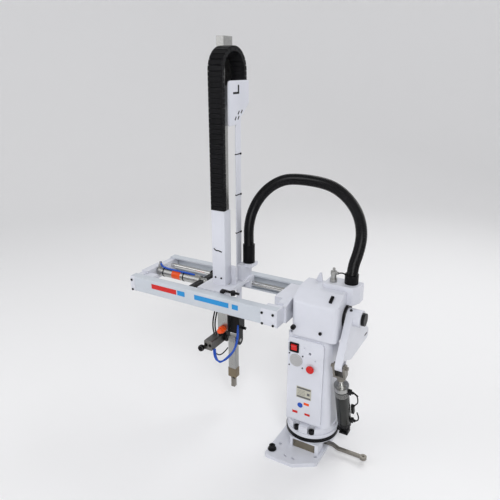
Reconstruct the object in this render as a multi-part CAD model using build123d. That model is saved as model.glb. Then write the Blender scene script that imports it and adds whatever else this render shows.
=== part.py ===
"""Pneumatic swing-arm take-out robot: a swivelling column carries a swinging frame, a crosswise
carriage, a long vertical arm and a flip-over gripper.

Millimetres. Z is up, X runs along the rails towards the column, Y points to the back. The origin is
on the column's swivel axis, at the underside of the base plate.
"""
from build123d import *
from math import acos, atan2, cos, hypot, pi, radians, sin, tan
import os

os.makedirs("parts", exist_ok=True)

# ---------------------------------------------------------------- driving dimensions
# base and swivel
PLATE_T = 12
RISER_TOP, FLANGE_TOP, RING_TOP, FOOT_Z0 = 50, 59, 71, 71.3
FLANGE_R, RING_R, FOOT_R = 80, 85, 83
POST_R, SWIVEL_R = 25, 12
BASE_BOLTS = [(-88, -116), (-88, 90)]           # fitted with bolts and washers
BASE_HOLES = [(-76, -80), (48, -80), (48, 84), (-76, 84)]   # free pattern for the machine
BASE_HOLE_R = 5.5
LOCK, LOCK_Z = (36, -5), (14, 23)               # pivot and thickness of the swivel's lock lever
# column
COL_Z = (106, 416)
COL_X_FOOT, COL_X_TOP = (-72, 76), (-70, 71)
COL_FRONT, COL_BACK, WALL = -65, 68, 6
PAD_X, PAD_TOP, PAD_T, PAD_R = (-65, 52), 405, 7, 12   # raised pad that carries the fittings
SHOULDER_X, SHOULDER_TOP, SHOULDER_BACK = (-57, 86), 556, 78
SHOULDER_R, CAVITY_TOP = 14, 516                # upright corners; the cavity stays under the slope
FOOT_BOLTS = [(x, y) for x in (-25.5, 25.5) for y in (-68, 68)]
RUN = 0.05                                      # radial clearance of a running fit
# swing shaft: runs along X through this (Y, Z)
SHAFT, SHAFT_R = (10, 480), 15
# crank lever and swing cylinder, in planes across X
LEVER_X, HUB_X, HUB_R, SEAL_R = (94, 116), (94, 138), 26, 34
LEVER_PIN, LEVER_TAIL, LOBE_R = (-64, 357), (139, 368), 20
OPEN_HOLE_R = 14                                # the linkage is open here: its pin floats in this hole
PIN, PIN_R = (-68.46, 351.28), 6                # clevis pin at rest
CYL_X, CYL_FOOT, BARREL_R = 105, (20, 80), 22
# swinging frame
RAIL_X, RAIL_Z, RAIL_DEPTH = (-648, -87), (446, 501), 30
FRONT_Y, BACK_Y = -112, 138
ROD_Y, ROD_Z, ROD_R = (-66, 92), 477, 8
CROSS, CROSS_R, CROSS_ROD_R = (8, 484), 16, 5
# carriage and tower
CAR_X, CAR_Z = (-390, -281), (491, 503)
TOWER_X, TOWER_Y, TOWER_TOP, TOWER_T = (-364, -314.5), (-28, 8.5), 753, 3
# arm, bracket and drag chain
BEAM_X, BEAM_Y, BEAM_Z = (-359, -320), (-11, 9), (329, 1126)
BRACKET_X, BRACKET_TOP, BRACKET_BACK = (-313, -310), 1141, 118
CHAIN_X, CHAIN_FRONT, CHAIN_T = (-364, -315), -28, 15
CHAIN_AXIS, CHAIN_R = (43, 1167), 71
# gripper: the flip axis runs along X through this point
FLIP_X, FLIP_Y, FLIP_Z = -322, 30, 281
JAW_Z = 148                                     # height of the jaws' pivots
# conduit hose between the carriage and the valve box
HOSE_R, CUFF_R, CUFF_LEFT, CUFF_RIGHT = 17, 20.5, (-288, 80), (85, 45)
CABLE_BOX_TOP, VALVE_BOX_TOP = 557, 571
HOSE_JOIN = (-72, 60, 862)
HOSE_RIGHT = [(85, 45, VALVE_BOX_TOP), (85, 45, 620), (101, 44, 672), (108, 43, 733), (89, 46, 792),
              (44, 49, 838), (-14, 54, 862), HOSE_JOIN]
HOSE_LEFT = [HOSE_JOIN, (-130, 66, 862), (-188, 72, 840), (-238, 77, 798), (-273, 81, 744),
             (-290, 81, 684), (-288, 80, 619), (-288, 80, CABLE_BOX_TOP)]


# ---------------------------------------------------------------- helpers
def block(x, y, z):
    """Box between two limits on each axis."""
    lo, hi = Vector(x[0], y[0], z[0]), Vector(x[1], y[1], z[1])
    return Pos(*((lo + hi) / 2)) * Box(*(hi - lo))


def rounded(x, y, z, r, axis=Axis.Z):
    """Box with the four edges along one axis rounded."""
    solid = block(x, y, z)
    return fillet(solid.edges().filter_by(axis), r)


def bar(axis, at, span, r):
    """Round bar along X, Y or Z. at holds the other two coordinates, in axis order."""
    length, mid = span[1] - span[0], (span[0] + span[1]) / 2
    if axis == "X":
        return Pos(mid, at[0], at[1]) * Rot(0, 90, 0) * Cylinder(r, length)
    if axis == "Y":
        return Pos(at[0], mid, at[1]) * Rot(90, 0, 0) * Cylinder(r, length)
    return Pos(at[0], at[1], mid) * Cylinder(r, length)


def tube(axis, at, span, r, bore):
    return bar(axis, at, span, r) - bar(axis, at, (span[0] - 1, span[1] + 1), bore)


def prism_x(points, x):
    """Outline in (Y, Z), extruded along X."""
    plane = Plane(origin=(x[0], 0, 0), x_dir=(0, 1, 0), z_dir=(1, 0, 0))
    return extrude(plane * make_face(Polyline(*points, close=True)), x[1] - x[0])


def prism_y(points, y):
    """Outline in (X, Z), extruded towards +Y."""
    plane = Plane(origin=(0, y[0], 0), x_dir=(1, 0, 0), z_dir=(0, -1, 0))
    return extrude(plane * make_face(Polyline(*points, close=True)), y[0] - y[1])


def prism_z(points, z):
    """Outline in (X, Y), extruded upwards."""
    return extrude(Pos(0, 0, z[0]) * make_face(Polyline(*points, close=True)), z[1] - z[0])


def web(a, ra, b, rb, x):
    """Flat web between two round bosses in a plane across X, along their outer tangents."""
    away = atan2(b[1] - a[1], b[0] - a[0])
    side = acos((ra - rb) / hypot(b[0] - a[0], b[1] - a[1]))
    corners = [(c[0] + r * cos(away + s * side), c[1] + r * sin(away + s * side))
               for c, r, s in ((a, ra, 1), (b, rb, 1), (b, rb, -1), (a, ra, -1))]
    return prism_x(corners, x)


def cap_screw(axis, at, seat, height, r, shank=0, shank_r=0):
    """Socket cap screw: its head grows from seat by height (negative turns it round), with a
    hexagon socket, and its shank goes the other way."""
    turn = {"X": Rot(0, 90, 0), "Y": Rot(-90, 0, 0), "Z": Rot(0, 0, 0)}[axis]
    if height < 0:
        turn = turn * Rot(180, 0, 0)
    place = {"X": (seat, *at), "Y": (at[0], seat, at[1]), "Z": (*at, seat)}[axis]
    tall = abs(height)
    head = Pos(0, 0, tall / 2) * Cylinder(r, tall)
    head -= Pos(0, 0, tall * 0.45) * extrude(RegularPolygon(0.5 * r, 6), tall)
    if shank:
        head += Pos(0, 0, -shank / 2) * Cylinder(shank_r, shank)
    return Pos(*place) * turn * head


def swept_hose(points, name):
    """Round hose along straight runs joined by tangent arcs as large as the runs allow."""
    pts = [Vector(*p) for p in points]
    radii = [0.45 * min((b - a).length, (c - b).length) / tan(radians((b - a).get_angle(c - b) / 2))
             for a, b, c in zip(pts, pts[1:], pts[2:])]
    path = FilletPolyline(*pts, radius=radii)
    solid = sweep(Plane(origin=path @ 0, z_dir=path % 0) * Circle(HOSE_R), path=path)
    print(name, "radii", [round(r) for r in radii], "length", round(path.length),
          "volume share", round(solid.volume / (pi * HOSE_R ** 2 * path.length), 4))
    return solid


def save(name, *solids):
    shape = solids[0] if len(solids) == 1 else Compound(children=list(solids))
    export_step(shape, f"parts/{name}.step")


# ---------------------------------------------------------------- base
def base():
    plate = prism_z([(-102, -148), (-3, -148), (62, -107), (62, 110), (-102, 110)], (0, PLATE_T))
    plate = fillet(plate.edges().filter_by(Axis.Z), 12)
    plate = chamfer(plate.edges().group_by(Axis.Z)[-1], 1)
    for at in BASE_BOLTS + BASE_HOLES:
        plate -= bar("Z", at, (-1, PLATE_T + 1), BASE_HOLE_R)
    for x in (-38, -10):
        plate -= Pos(x, -123, PLATE_T) * Rot(0, 0, -20) * Box(12, 5, 12)
    save("base_plate", plate)

    # hollow riser with a window in front, open underneath, and the flange cast onto it
    riser = rounded((-48, 52), (-74, 78), (PLATE_T, RISER_TOP), 6)
    riser -= block((-42, 46), (-68, 72), (PLATE_T - 1, RISER_TOP - 5))
    riser -= block((-36, 41), (-76, -60), (PLATE_T - 1, RISER_TOP - 5))
    riser -= block((40, 60), (-30, 20), (PLATE_T - 1, LOCK_Z[1] + 3))
    flange = bar("Z", (0, 0), (RISER_TOP, FLANGE_TOP), FLANGE_R)
    riser += chamfer(flange.edges().group_by(Axis.Z)[0], 2)
    riser -= bar("Z", (0, 0), (0, FLANGE_TOP + 1), SWIVEL_R + RUN)
    save("base_casting", riser)

    save("pivot_bush", tube("Z", (0, 0), (PLATE_T, RISER_TOP - 5), POST_R, SWIVEL_R + RUN))
    save("swivel_ring", tube("Z", (0, 0), (FLANGE_TOP, RING_TOP), RING_R, SWIVEL_R + 2))

    bolts = []
    for at in BASE_BOLTS:
        bolts.append(cap_screw("Z", at, PLATE_T + 3, 12, 10, 3 + PLATE_T, BASE_HOLE_R) +
                     tube("Z", at, (PLATE_T, PLATE_T + 3), 14, BASE_HOLE_R))
    seat = LOCK_Z[1] + 0.5
    bolts.append(cap_screw("Z", LOCK, seat, 6, 8, seat - PLATE_T, 4))
    save("base_bolts", *bolts)


def lock_lever():
    """Flat wrench that clamps the swivel. It turns on a shoulder screw inside the riser and
    comes out through the slot in its right wall."""
    (x, y), z = LOCK, LOCK_Z
    grip = prism_z([(x, y - 6), (x + 40, y - 6), (x + 62, y - 15), (x + 146, y - 15),
                    (x + 146, y - 5), (x + 64, y - 5), (x + 42, y + 5), (x, y + 5)], z)
    lever = bar("Z", (x, y), z, 8) + grip + bar("Z", (x + 146, y - 10), z, 11)
    lever -= bar("Z", (x, y), (0, 40), 4 + RUN)
    lever -= bar("Z", (x + 146, y - 10), (0, 40), 4)
    save("lock_lever", lever)


# ---------------------------------------------------------------- column
def column_section(z, span, inset):
    """The column's outline: flat front, a wide front right corner and a round back."""
    x0, x1 = span[0] + inset, span[1] - inset
    y0, y1, sides = COL_FRONT + PAD_T + inset, COL_BACK - inset, 8
    small, wide = max(9 - inset, 3), 25 - inset
    edges = [
        Line((x0 + small, y0), (x1 - wide, y0)),
        RadiusArc((x1 - wide, y0), (x1, y0 + wide), -wide),
        Line((x1, y0 + wide), (x1, sides)),
        ThreePointArc((x1, sides), ((x0 + x1) / 2, y1), (x0, sides)),
        Line((x0, sides), (x0, y0 + small)),
        RadiusArc((x0, y0 + small), (x0 + small, y0), -small)]
    return Pos(0, 0, z) * make_face(edges)


def column():
    foot = bar("Z", (0, 0), (FOOT_Z0, 84), FOOT_R) + bar("Z", (0, 0), (84, COL_Z[0]), 80)
    for x, y in FOOT_BOLTS:
        outward = (y, y + 30) if y > 0 else (y - 30, y)
        foot -= bar("Z", (x, y), (84, COL_Z[0] + 1), 11)
        foot -= block((x - 11, x + 11), outward, (84, COL_Z[0] + 1))
        foot -= bar("Z", (x, y), (70, 90), 5)
    foot -= bar("Z", (0, 0), (70, COL_Z[0] + 1), SWIVEL_R)
    save("column_foot", foot)
    save("swivel_pin", bar("Z", (0, 0), (PLATE_T + 4, COL_Z[0]), SWIVEL_R))

    def shell(inset, z0, z1):
        return loft([column_section(z0, COL_X_FOOT, inset), column_section(z1, COL_X_TOP, inset)],
                    ruled=True)
    body = shell(0, *COL_Z) - shell(WALL, COL_Z[0] + 30, COL_Z[1])
    pad = block(PAD_X, (COL_FRONT, COL_FRONT + PAD_T + WALL), (COL_Z[0] + 8, PAD_TOP))
    body += fillet(pad.edges().filter_by(Axis.Y), PAD_R)
    depth = (COL_FRONT - 5, COL_FRONT + PAD_T + WALL + 8)
    body -= block((-57, -31), depth, (360, 386))
    body -= bar("Y", (12.5, 313), depth, 9 + RUN)
    body -= bar("Y", (8, 363), depth, 4.5)
    for at in ((-10, 379), (27, 344)):
        body -= bar("Y", at, (COL_FRONT - 1, COL_FRONT + 2), 2.5)
    save("column_housing", body)

    y = COL_FRONT
    screws = [cap_screw("Z", at, 84, 12, 8.5, 84 - FOOT_Z0 - 0.5, 5) for at in FOOT_BOLTS]
    screws += [cap_screw("Y", at, y, -1.8, 2.2) for at in
               ((-59.5, 349), (-15, 349), (-59.5, 308), (-15, 308))]
    screws += [cap_screw("Y", (38, 441), y, -4, 5), cap_screw("Y", (-48, 442), y, -9, 7.5)]
    save("column_screws", *screws)


def panel():
    """Fittings on the column's flat front."""
    y = COL_FRONT
    bezel = rounded((-59, -28.5), (y - 3, y), (357, 388.5), 2, Axis.Y)
    bezel += block((-56.5, -31.5), (y, y + 15), (360.5, 385.5))
    bezel -= block((-54, -34), (y - 5, y + 13), (362, 384))
    save("switch_bezel", bezel)
    rocker = prism_x([(y - 8, 384), (y - 2.5, 373), (y - 4.5, 362), (y + 12, 362), (y + 12, 384)],
                     (-53.6, -34.4))
    save("switch_rocker", rocker & bar("X", (y + 1, 373), (-54, -34), 10.4))

    grille = bar("Y", (-37, 329.7), (y - 2.5, y), 21)
    grille = fillet(grille.edges().group_by(Axis.Y)[0], 1.2)
    for ring, count in ((5, 6), (10, 12), (15, 18)):
        for i in range(count):
            a = radians(360 * i / count)
            grille -= bar("Y", (-37 + ring * cos(a), 329.7 + ring * sin(a)), (y - 4, y - 0.5), 1)
    save("buzzer", grille)

    button = bar("Y", (12.5, 313), (y - 9, y + 10), 9) + bar("Y", (12.5, 313), (y - 9, y - 4.5), 12.5)
    save("push_button", fillet(button.edges().group_by(Axis.Y)[0], 1.5))


def shoulder():
    x, z0, top, back = SHOULDER_X, COL_Z[1], SHOULDER_TOP, SHOULDER_BACK
    body = prism_x([(COL_FRONT, z0), (COL_FRONT, 526), (-15, top - 2), (10, top), (60, top),
                    (back, 538), (back, z0)], x)
    body = fillet(body.edges().filter_by(Axis.X).filter_by(lambda e: e.center().Z > z0 + 10), 12)
    body &= rounded(x, (COL_FRONT, back), (z0, top), SHOULDER_R)
    body -= block((x[0] + 12, x[1] - 12), (COL_FRONT + 12, back - 10), (z0 - 1, CAVITY_TOP))
    body -= bar("X", SHAFT, (x[0] - 5, x[1] + 5), SHAFT_R + RUN)
    on_slope = Pos(57, -38, 542) * Rot(29, 0, 0)
    body -= on_slope * Box(9, 24, 12)
    body += on_slope * Pos(0, 4, -4.5) * Cylinder(3.6, 4)
    body += prism_y([(-30, top - 1), (-7, top - 1), (-11, top + 28), (-17, top + 28)], (46, 50))
    save("shoulder_housing", body)
    save("shaft_bearings", *[tube("X", SHAFT, span, 30, SHAFT_R + RUN)
                             for span in ((x[0] + 12, x[0] + 26), (x[1] - 26, x[1] - 12))])

    box = block((10, 117), (8, 68), (top, VALVE_BOX_TOP))
    box += block((x[1], 117), (8, 68), (SEAL_R + SHAFT[1] + 1.5, VALVE_BOX_TOP))
    box -= prism_z([(100, 0), (125, 0), (125, 52)], (500, 600))
    box -= body
    save("valve_box", chamfer(box.edges().group_by(Axis.Z)[-1], 1.5))
    save("hose_cuff_right", tube("Z", CUFF_RIGHT, (VALVE_BOX_TOP, 600), CUFF_R, HOSE_R + 0.6))

    at, z = (34, 30), VALVE_BOX_TOP
    fitting = bar("Z", at, (z, z + 10), 11) + bar("Z", at, (z + 10, z + 24), 8)
    fitting += bar("Z", at, (z + 24, z + 34), 9.5) + bar("Z", at, (z + 34, z + 44), 4)
    save("air_fitting", fitting + bar("X", (at[1], z + 29), (at[0], at[0] + 15), 4.5))


# ---------------------------------------------------------------- swing cylinder
def lean(solid):
    """Puts a solid drawn along +Z from the foot pivot on the swing cylinder's leaning axis."""
    along = Vector(0, PIN[0] - CYL_FOOT[0], PIN[1] - CYL_FOOT[1])
    return Plane(origin=(CYL_X, *CYL_FOOT), x_dir=(1, 0, 0), z_dir=along) * solid


def across(z, r, width, x=0):
    """Disc across the leaning axis, along X."""
    return Pos(x, 0, z) * Rot(0, 90, 0) * Cylinder(r, width)


def swing_cylinder():
    reach = hypot(PIN[0] - CYL_FOOT[0], PIN[1] - CYL_FOOT[1])
    y, z = CYL_FOOT
    low = 62
    bracket = block((70, 96.5), (y - 14, y + 14), (FOOT_Z0 + 0.5, z))
    bracket += block((91, 119), (y - 14, y + 14), (low, low + 6))
    for span in ((91, 96.5), (113.5, 119)):
        bracket += block(span, (y - 10, y + 10), (low, z)) + bar("X", CYL_FOOT, span, 10)
    bracket += bar("X", CYL_FOOT, (89, 121), PIN_R)
    foot = bar("Z", (0, 0), (FOOT_Z0 - 1, 120), FOOT_R)
    save("cylinder_bracket", bracket - foot)

    barrel = Pos(0, 0, 114) * (Cylinder(BARREL_R, 152) - Cylinder(BARREL_R - 3, 160))
    save("cylinder_barrel", lean(barrel))
    cap = Pos(0, 0, 12) * Box(14, 16, 24) + across(0, 8.5, 14)
    cap += Pos(0, 0, 29) * Cylinder(BARREL_R - 1, 18)
    save("cylinder_cap", lean(cap - across(0, PIN_R + RUN, 40)))
    head = Pos(0, 0, 198) * Cylinder(BARREL_R + 1, 16) + Pos(0, 0, 208) * Cylinder(15, 6)
    save("cylinder_head", lean(head - Pos(0, 0, 200) * Cylinder(8 + RUN, 40)))

    core = Pos(0, 0, 120) * Cylinder(BARREL_R + 1.05, 200)
    fittings = [Pos(25, 0, z) * Box(12, 12, 14) + across(z, 4.5, 8, 33) for z in (50, 184)]
    fittings.append(Pos(26, 12, 90) * Box(10, 11, 34))
    save("cylinder_ports", *[lean(f - core) for f in fittings])

    save("swing_rod", lean(Pos(0, 0, (52 + reach - 38) / 2) * Cylinder(8, reach - 90)))
    clevis = Pos(0, 0, reach - 34) * Box(38, 24, 8)
    for side in (-1, 1):
        clevis += Pos(side * 15.75, 0, reach - 17) * Box(6.5, 24, 34)
        clevis += across(reach, 12, 6.5, side * 15.75)
    clevis += Pos(0, 0, reach - 46) * Cylinder(12, 16) - Pos(0, 0, reach - 46) * Cylinder(8, 16)
    save("rod_clevis", lean(clevis - across(reach, PIN_R, 80)))
    save("clevis_pin", lean(across(reach, PIN_R, 52)))


def swing_lever():
    x = LEVER_X
    plate = web(SHAFT, HUB_R, LEVER_PIN, LOBE_R, x) + web(SHAFT, HUB_R, LEVER_TAIL, LOBE_R, x)
    plate += prism_x([SHAFT, LEVER_PIN, (LEVER_PIN[0], 345), (LEVER_TAIL[0], 349), LEVER_TAIL], x)
    # scoop behind the pin boss: the rod folds up into it as the frame swings out
    plate -= prism_x([(-80, 362), (-36, 362), (-30, 357), (22, 336), (22, 300), (-80, 300)], x)
    plate += bar("X", LEVER_PIN, x, LOBE_R) + bar("X", LEVER_TAIL, x, LOBE_R)
    plate += bar("X", SHAFT, HUB_X, HUB_R)
    plate -= bar("X", SHAFT, (90, 140), SHAFT_R)
    plate -= bar("X", LEVER_PIN, (90, 120), OPEN_HOLE_R)
    slot_y, slot_z = LEVER_TAIL
    plate -= block((x[1] - 8, x[1] + 1), (slot_y - 20, slot_y + 8), (slot_z - 3.5, slot_z + 3.5))
    save("swing_lever", plate)

    save("swing_shaft", bar("X", SHAFT, (-100, HUB_X[1]), SHAFT_R))
    collars = [tube("X", SHAFT, (-73.8, -57.6), 27, SHAFT_R),
               tube("X", SHAFT, (86.4, 93.8), SEAL_R, SHAFT_R),
               bar("X", SHAFT, (HUB_X[1], 148), 19.5)]
    save("shaft_collars", *collars)


# ---------------------------------------------------------------- swinging frame
def rail(outer, side):
    """Channel rail with a creased outer face, open to the inside. side is -1 for the front."""
    z0, z1 = RAIL_Z

    def at(depth):
        return outer - side * depth
    return prism_x([(at(RAIL_DEPTH), z0), (at(7), z0), (at(2.5), z0 + 4), (at(0), z0 + 22),
                    (at(0), z1 - 4), (at(3), z1), (at(RAIL_DEPTH), z1), (at(RAIL_DEPTH), z1 - 6),
                    (at(5), z1 - 6), (at(7.5), z0 + 6), (at(RAIL_DEPTH), z0 + 6)], RAIL_X)


def frame():
    front, back = rail(FRONT_Y, -1), rail(BACK_Y, 1)
    save("front_rail", front)
    save("back_rail", back)

    (z0, z1), lug_y = RAIL_Z, (FRONT_Y + 9, BACK_Y - 9)
    lug_z = (z0 + 6.2, z1 - 6.2)
    right = block((-140, -87), lug_y, lug_z) + block((-140, -87), (-50, 106), (z1 - 8, z1))
    right -= block((-150, -112), (-56, -14), (400, 600))
    right -= block((-150, -104), (20, 76), (400, z1 - 12))
    right += rounded((-87, -82), (FRONT_Y, BACK_Y), RAIL_Z, 4, Axis.X)
    right += block((-87, -74), (-66, 96), RAIL_Z)
    right += prism_x([(-70, z1 - 2), (-24, SHAFT[1] + 32), (44, SHAFT[1] + 32), (100, z1 - 2)],
                     (-87, -74))
    right -= bar("X", SHAFT, (-100, -70), SHAFT_R)
    for y in ROD_Y:
        right -= bar("X", (y, ROD_Z), (-200, -95), ROD_R)
    save("right_end", right)

    left = block((-650, -628), lug_y, lug_z)
    left += block((-636, -588), (-81.8, -36), (z1 - 18, z1 - 10))
    left += block((-650, -622), (-50, 36), (z0 + 10, z1))
    left -= block((-660, -600), (44, 70), (z0 + 14, z1 - 14))
    left -= bar("X", CROSS, (-640, -600), 10)
    for y in ROD_Y:
        left -= bar("X", (y, ROD_Z), (-640, -580), ROD_R)
    save("left_end", left)
    save("guide_rods", *[bar("X", (y, ROD_Z), (-640, -95), ROD_R) for y in ROD_Y])

    bridge = block((-437, -421), (ROD_Y[0] - 12, ROD_Y[1] + 12), (ROD_Z - 14, ROD_Z + 14))
    for y in ROD_Y:
        bridge -= bar("X", (y, ROD_Z), (-450, -400), ROD_R)
    bridge -= bar("X", CROSS, (-450, -400), 10.8)
    save("cross_bridge", bridge)

    fasteners = [tube("X", (y, ROD_Z), span, 13, ROD_R)
                 for y in ROD_Y for span in ((-450, -437), (-421, -410))]
    for x in (-642, -132, -95):
        for z, inset in ((488, 0), (452, 2.2)):
            fasteners.append(cap_screw("Y", (x, z), FRONT_Y + inset, -3, 4) - front)
            fasteners.append(cap_screw("Y", (x, z), BACK_Y - inset, 3, 4) - back)
    save("frame_fasteners", *fasteners)


def cross_cylinder():
    save("cross_barrel", tube("X", CROSS, (-606, -455), CROSS_R, CROSS_R - 2.5))
    rear = bar("X", CROSS, (-640, -620), 10) + bar("X", CROSS, (-620, -606), CROSS_R)
    rear += block((-618, -606), (CROSS[0] - 6, CROSS[0] + 6), (CROSS[1] + 8, CROSS[1] + 26))
    rear += bar("Z", (-612, CROSS[0]), (CROSS[1] + 26, CROSS[1] + 36), 5)
    nose = bar("X", CROSS, (-455, -437), CROSS_R) + bar("X", CROSS, (-437, -419), 10.8)
    save("cross_caps", rear, nose - bar("X", CROSS, (-456, -400), CROSS_ROD_R + RUN))
    save("cross_rod", bar("X", CROSS, (-455, -386), CROSS_ROD_R))


# ---------------------------------------------------------------- carriage and tower
def carriage():
    z0, z1 = CAR_Z
    plate = block(CAR_X, (ROD_Y[0] - 13, ROD_Y[1] + 13), CAR_Z)
    bushings = {ROD_Y[0]: [CAR_X], ROD_Y[1]: [(CAR_X[0], -345), (-303, CAR_X[1])]}
    for y, spans in bushings.items():
        for span in spans:
            plate += block(span, (y - 13, y + 13), (ROD_Z - 13, z0 + 1))
        plate -= bar("X", (y, ROD_Z), (-400, -270), ROD_R + RUN)
    plate += block((CAR_X[0], -378), (CROSS[0] - 12, CROSS[0] + 12), (CROSS[1] - 12, z0 + 1))
    plate -= bar("X", CROSS, (-400, -386), CROSS_ROD_R)
    plate -= block((-361, -317.5), (-13, 12.2), (400, 600))
    plate -= block((-321, -309), (-14, 98), (400, 600))
    plate += prism_x([(0, z1), (12, z1), (12, 560), (0, 568)], (-308, -292))
    save("carriage", plate)

    x, y, t = TOWER_X, TOWER_Y, TOWER_T
    tower = fillet(block(x, y, (z1, TOWER_TOP)).edges().filter_by(Axis.Z).group_by(Axis.Y)[0], 2.5)
    tower -= block((x[0] + t, x[1] - t), (y[0] + t, y[1] + 10), (z1 - 1, TOWER_TOP + 1))
    tower += block((x[0] + t, x[1] - t), (y[0] + t, -13), (z1, z1 + 6))
    save("tower_cover", tower)

    box = rounded((-308, -290), (36, 102), (z1, CABLE_BOX_TOP), 3, Axis.X)
    save("cable_box", box + block((-308, -266), (58, 102), (545, CABLE_BOX_TOP)))
    save("hose_cuff_left", tube("Z", CUFF_LEFT, (CABLE_BOX_TOP, 620), 20, HOSE_R + 0.6))

    # stop rod beside the carriage, high enough to pass over the right end
    at = (-75, z1 + 7)
    absorber = bar("X", at, (-298, -234), 4) + block((-300, -286), (-83, -67), (z1, z1 + 8))
    absorber += bar("Z", (-256, at[0]), (z1 - 1, z1 + 12), 8)
    save("cross_stop", absorber)


# ---------------------------------------------------------------- drag chain
def chain_leg(front, z0, z1):
    """Straight stretch: a narrow core with a full-width link on each pitch."""
    x, count = CHAIN_X, round((z1 - z0) / 15)
    step = (z1 - z0) / count
    leg = block((x[0] + 5, x[1] - 5), (front + 2, front + CHAIN_T - 2), (z0, z1))
    for i in range(count):
        leg += block(x, (front, front + CHAIN_T), (z0 + i * step, z0 + (i + 1) * step - 1.4))
    return leg


def chain():
    x, (y, z) = CHAIN_X, CHAIN_AXIS
    save("chain_leg_fixed", chain_leg(CHAIN_FRONT, TOWER_TOP, z))
    save("chain_leg_moving", chain_leg(y + CHAIN_R - CHAIN_T, 1066, z))
    bend = tube("X", CHAIN_AXIS, x, CHAIN_R, CHAIN_R - CHAIN_T)
    bend &= block(x, (y - CHAIN_R - 1, y + CHAIN_R + 1), (z, z + CHAIN_R + 1))
    for i in range(1, 15):
        bend -= Pos(0, y, z) * Rot(12 * i, 0, 0) * Pos(0, CHAIN_R, 0) * Box(1000, 4, 1.4)
    save("chain_bend", bend)


# ---------------------------------------------------------------- vertical arm
def arm():
    mid = sum(BEAM_X) / 2
    beam = block(BEAM_X, BEAM_Y, BEAM_Z)
    for x in (mid - 9, mid + 9):
        beam -= block((x - 6, x + 6), (-7, 5), (BEAM_Z[0] - 1, BEAM_Z[1] + 1))
    beam -= block((mid - 4, mid + 4), (7, 10), (BEAM_Z[0] - 1, BEAM_Z[1] + 1))
    save("arm_beam", beam)

    x, top, back = BRACKET_X, BRACKET_TOP, BRACKET_BACK
    bracket = prism_x([(8, top), (1, top - 3), (-1, top - 9), (-1, 1014), (2, 1011), (22, 1011),
                       (46, 1014), (back, 1072), (back, top)], x)
    bracket += block((BEAM_X[0], x[1]), (BEAM_Y[1], 12), (1066, 1126))
    bracket += block((-394, x[1]), (back - 3, back), (1096, top))
    save("chain_bracket", bracket)
    end = rounded((-394, -366), (66, back - 3), (1066, 1267), 2)
    save("chain_end_block", end - block((-391, -369), (69, back - 6), (1060, 1260)))
    save("tube_strip", rounded((-318, -314), (46, 76), (328, 1068), 1.5))


def gripper():
    x, y, z = FLIP_X, FLIP_Y, FLIP_Z
    mount = block((-345, -285), (BEAM_Y[1], 44), (321, 391))
    mount += block((-351, -293), (BEAM_Y[1], 52), (315, 321))
    mount -= block((-319, -312), (45, 78), (300, 400))
    for span in ((-351, -345), (-299, -293)):
        mount += block(span, (13, 47), (z, 316)) + bar("X", (y, z), span, 17)
        mount -= bar("X", (y, z), span, PIN_R + RUN)
    mount += block((-358, -346), (-9, 14), (301, 321)) + block((-346, -340), (9, 14), (301, 321))
    mount += bar("X", (30, 332), (-285, -272), 5)
    save("gripper_mount", mount)

    cylinder = rounded((-384, -352), (-60, 22), (266, 300.5), 3, Axis.Y)
    for cx in (-376, -360):
        cylinder -= bar("Y", (cx, 284), (-62, -20), 6)
    bumper = bar("Y", (-391, 271), (-74, -61), 10) + block((-391, -384), (-61, -52), (266, 276))
    save("flip_cylinder", cylinder, bumper)

    body = rounded((x - 15, x + 15), (y - 12, y + 12), (166, z + 12), 3)
    body += bar("X", (y, z), (-351, -293), PIN_R)
    save("chuck_body", body)
    nose = rounded((x - 17, x + 17), (y - 13, y + 13), (130, 166), 4)
    nose = chamfer(nose.edges().group_by(Axis.Z)[0], 2)
    nose -= block((x - 13, x + 13), (y - 9, y + 9), (120, 160))
    nose += bar("Y", (x, JAW_Z), (y - 12, y + 12), 3)
    save("chuck_nose", nose)
    for name, side in (("jaw_left", -1), ("jaw_right", 1)):
        eye = (y - 8, y - 0.3) if side < 0 else (y + 0.3, y + 8)
        jaw = bar("Y", (x, JAW_Z), eye, 6)
        jaw += block(sorted((x + side * 0.5, x + side * 7)), eye, (120, JAW_Z))
        jaw += block(sorted((x + side * 0.5, x + side * 7)), (y - 7, y + 7), (88, 122))
        save(name, jaw - bar("Y", (x, JAW_Z), (y - 20, y + 20), 3 + RUN))


# ---------------------------------------------------------------- conduit hose
def hose():
    save("hose_right", swept_hose(HOSE_RIGHT, "hose_right"))
    save("hose_left", swept_hose(HOSE_LEFT, "hose_left"))


for make in (base, lock_lever, column, panel, shoulder, swing_cylinder, swing_lever, frame,
             cross_cylinder, carriage, chain, arm, gripper, hose):
    make()
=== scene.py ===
"""Look of the pneumatic swing-arm take-out robot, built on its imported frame."""
import math

import bmesh
import bpy
from mathutils import Matrix, Vector


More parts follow.
